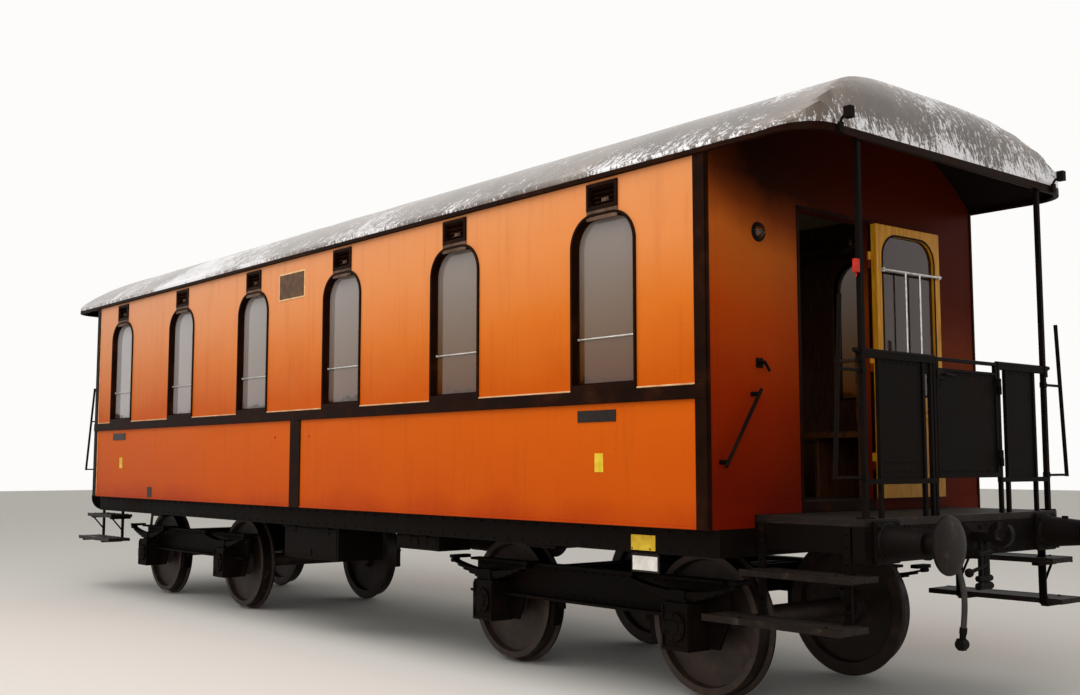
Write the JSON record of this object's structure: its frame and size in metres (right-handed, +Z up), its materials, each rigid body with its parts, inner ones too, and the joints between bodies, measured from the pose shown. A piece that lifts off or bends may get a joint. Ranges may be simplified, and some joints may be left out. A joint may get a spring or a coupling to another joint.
{
  "type": "passenger coach",
  "caption": "Vintage bogie passenger coach with open end platforms, enamelled sheet body, arched windows, hinged end doors, railings, steps, buffers and swivelling bogies.",
  "frame": {"origin": "on the floor under the middle of the coach, at the lowest point of the wheel flanges", "axes": "+X along the coach towards platform 1, +Z up, -Y the side seen in the picture"},
  "size_m": [12.2, 2.96, 4.0158],
  "materials": {
    "enamel_orange": "weathered gloss enamel",
    "trim_brown": "dark brown gloss paint",
    "roof_felt": "tarred felt with a wet sheen",
    "underframe_black": "sooty black paint",
    "wheel_steel": "rusty steel with bright treads",
    "window_glass": "clear",
    "white_metal": "polished nickel plate",
    "ochre_wood": "varnished",
    "bench_wood": "varnished slats",
    "plank_wood": "worn planks",
    "hose_rubber": "ribbed",
    "brass_fittings": "dull"
  },
  "bodies": {
    "coach": {"underframe": "underframe_black", "floor": "plank_wood", "side_wall_left": "enamel_orange", "side_wall_right": "enamel_orange", "window_frames_left": "trim_brown", "window_frames_right": "trim_brown", "window_glass": "window_glass", "window_safety_bars": "white_metal", "window_vents": "trim_brown", "side_trim_left": "trim_brown", "side_trim_right": "trim_brown", "end_wall_1": "enamel_orange", "end_wall_2": "enamel_orange", "saloon_partition": "bench_wood", "benches": "bench_wood", "luggage_racks": "bench_wood", "roof": "roof_felt", "roof_vents": "trim_brown", "platform_deck_1": "plank_wood", "platform_deck_2": "plank_wood", "end_railing_1": "underframe_black", "end_railing_2": "underframe_black", "steps_1": "underframe_black", "steps_2": "underframe_black", "grab_rails_1": "underframe_black", "grab_rails_2": "underframe_black", "end_handrails": "underframe_black", "lamp_brackets": "underframe_black", "platform_lamps": "trim_brown", "buffers": "underframe_black", "draw_gear": "wheel_steel", "brake_pipes": "underframe_black", "brake_hose_1": "hose_rubber", "brake_hose_2": "hose_rubber", "brake_couplings": "wheel_steel", "battery_box": "underframe_black", "equipment_box": "underframe_black", "air_reservoir": "underframe_black"},
    "door_1": {"end_door_1": "ochre_wood", "end_door_1_glass": "window_glass", "end_door_1_bars": "white_metal", "end_door_1_handles": "brass_fittings"},
    "door_2": {"end_door_2": "ochre_wood", "end_door_2_glass": "window_glass", "end_door_2_bars": "white_metal", "end_door_2_handles": "brass_fittings"},
    "gate_1": {"gangway_gate_1": "underframe_black"},
    "gate_2": {"gangway_gate_2": "underframe_black"},
    "bogie_1": {"bogie_1_frame": "underframe_black", "bogie_1_axleboxes": "underframe_black", "bogie_1_springs": "underframe_black", "bogie_1_brake_gear": "underframe_black"},
    "bogie_2": {"bogie_2_frame": "underframe_black", "bogie_2_axleboxes": "underframe_black", "bogie_2_springs": "underframe_black", "bogie_2_brake_gear": "underframe_black"},
    "wheelset_1": {"wheelset_1": "wheel_steel"},
    "wheelset_2": {"wheelset_2": "wheel_steel"},
    "wheelset_3": {"wheelset_3": "wheel_steel"},
    "wheelset_4": {"wheelset_4": "wheel_steel"}
  },
  "joints": [
    {"name": "bogie_1_swivel", "type": "hinge", "parent": "coach", "child": "bogie_1", "pos_m": [3.26, 0, 0.94], "axis": [0, 0, 1], "range_deg": [-5, 5]},
    {"name": "bogie_2_swivel", "type": "hinge", "parent": "coach", "child": "bogie_2", "pos_m": [-3.26, 0, 0.94], "axis": [0, 0, 1], "range_deg": [-5, 5]},
    {"name": "wheelset_1_turn", "type": "hinge", "parent": "bogie_1", "child": "wheelset_1", "pos_m": [4.26, 0, 0.49], "axis": [0, 1, 0], "continuous": true},
    {"name": "wheelset_2_turn", "type": "hinge", "parent": "bogie_1", "child": "wheelset_2", "pos_m": [2.26, 0, 0.49], "axis": [0, 1, 0], "continuous": true},
    {"name": "wheelset_3_turn", "type": "hinge", "parent": "bogie_2", "child": "wheelset_3", "pos_m": [-2.26, 0, 0.49], "axis": [0, 1, 0], "continuous": true},
    {"name": "wheelset_4_turn", "type": "hinge", "parent": "bogie_2", "child": "wheelset_4", "pos_m": [-4.26, 0, 0.49], "axis": [0, 1, 0], "continuous": true},
    {"name": "door_1_hinge", "type": "hinge", "parent": "coach", "child": "door_1", "pos_m": [4.907, 0.152, 2.2], "axis": [0, 0, 1], "range_deg": [-178, 0]},
    {"name": "door_2_hinge", "type": "hinge", "parent": "coach", "child": "door_2", "pos_m": [-4.907, 0.152, 2.2], "axis": [0, 0, -1], "range_deg": [0, 178]},
    {"name": "gate_1_hinge", "type": "hinge", "parent": "coach", "child": "gate_1", "pos_m": [5.674, 0.412, 1.8], "axis": [0, 0, 1], "range_deg": [0, 90]},
    {"name": "gate_2_hinge", "type": "hinge", "parent": "coach", "child": "gate_2", "pos_m": [-5.674, 0.412, 1.8], "axis": [0, 0, -1], "range_deg": [0, 90]}
  ]
}
